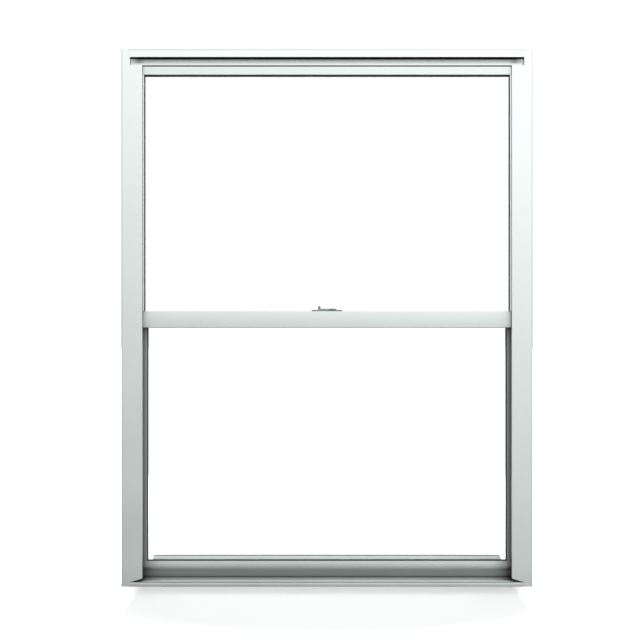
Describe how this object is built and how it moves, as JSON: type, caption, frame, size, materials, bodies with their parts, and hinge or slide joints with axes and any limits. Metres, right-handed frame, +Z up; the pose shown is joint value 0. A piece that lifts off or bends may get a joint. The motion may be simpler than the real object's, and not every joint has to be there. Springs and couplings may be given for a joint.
{
  "type": "sash window",
  "caption": "Aluminium single-hung window: fixed double-glazed upper light, lower sash that slides up on spiral balances, sweep lock on the meeting rail.",
  "frame": {"origin": "middle of the bounding box's width and depth, at the underside of the sill", "axes": "+Z up, +X to the right seen from the weather side, -Y towards the weather, +Y towards the room"},
  "size_m": [0.914, 0.071, 1.196],
  "materials": {
    "aluminium": "satin mill finish, faint clear anodising",
    "glass": "clear float glass",
    "black_rubber": "matt black glazing rubber",
    "spacer": "mill finish spacer bar with a dark edge seal",
    "steel": "bright zinc-plated or stainless",
    "pile": "woven pile",
    "white_vinyl": "extruded vinyl",
    "nylon": "moulded nylon",
    "zinc": "satin die-cast"
  },
  "bodies": {
    "frame": {"head": "aluminium", "sill": "aluminium", "left_jamb": "aluminium", "right_jamb": "aluminium", "fixed_meeting_rail": "aluminium", "frame_screws": "steel", "fixed_outer_pane": "glass", "fixed_inner_pane": "glass", "fixed_spacer": "spacer", "fixed_bead_top": "aluminium", "fixed_bead_left": "aluminium", "fixed_bead_right": "aluminium", "fixed_front_gasket": "black_rubber", "fixed_back_tape": "black_rubber", "fixed_setting_blocks": "black_rubber", "interlock_seal": "pile", "balance_tube_left": "white_vinyl", "balance_tube_right": "white_vinyl", "balance_plugs": "white_vinyl", "balance_spring_left": "steel", "balance_spring_right": "steel", "hanger_screws": "steel", "travel_stop_left": "nylon", "travel_stop_right": "nylon", "stop_screws": "steel"},
    "sash": {"sash_top_rail": "aluminium", "sash_bottom_rail": "aluminium", "sash_left_stile": "aluminium", "sash_right_stile": "aluminium", "sash_outer_pane": "glass", "sash_inner_pane": "glass", "sash_spacer": "spacer", "sash_bead_top": "aluminium", "sash_bead_bottom": "aluminium", "sash_bead_left": "aluminium", "sash_bead_right": "aluminium", "sash_front_gasket": "black_rubber", "sash_back_gasket": "black_rubber", "sash_setting_blocks": "black_rubber", "sash_screws": "steel", "left_stile_pile": "pile", "right_stile_pile": "pile", "sill_bulb_seal": "black_rubber", "balance_rod_left": "steel", "balance_rod_right": "steel", "rod_bracket_left": "steel", "rod_bracket_right": "steel", "bracket_screws": "steel", "lock_base": "zinc", "lock_screws": "steel"},
    "lock_lever": {"lock_lever": "zinc", "lock_spindle": "steel", "lock_cam": "zinc"},
    "nut_left": {"drive_nut_left": "nylon"},
    "nut_right": {"drive_nut_right": "nylon"}
  },
  "joints": [
    {"name": "sash_lift", "type": "slide", "parent": "frame", "child": "sash", "axis": [0, 0, 1], "range_m": [0, 0.5]},
    {"name": "lock_turn", "type": "hinge", "parent": "sash", "child": "lock_lever", "pos_m": [0.0128, 0.0044, 0.6125], "axis": [0, 0, -1], "range_deg": [0, 180]},
    {"name": "nut_turn_left", "type": "hinge", "parent": "frame", "child": "nut_left", "pos_m": [-0.4295, 0.009, 0.6], "axis": [0, 0, 1], "range_deg": [-10, 2260]},
    {"name": "nut_turn_right", "type": "hinge", "parent": "frame", "child": "nut_right", "pos_m": [0.4295, 0.009, 0.6], "axis": [0, 0, 1], "range_deg": [-10, 2260]}
  ],
  "couplings": [
    {"joint": "nut_turn_left", "follows": "sash_lift", "rad_per_m": 78.54},
    {"joint": "nut_turn_right", "follows": "sash_lift", "rad_per_m": 78.54}
  ]
}
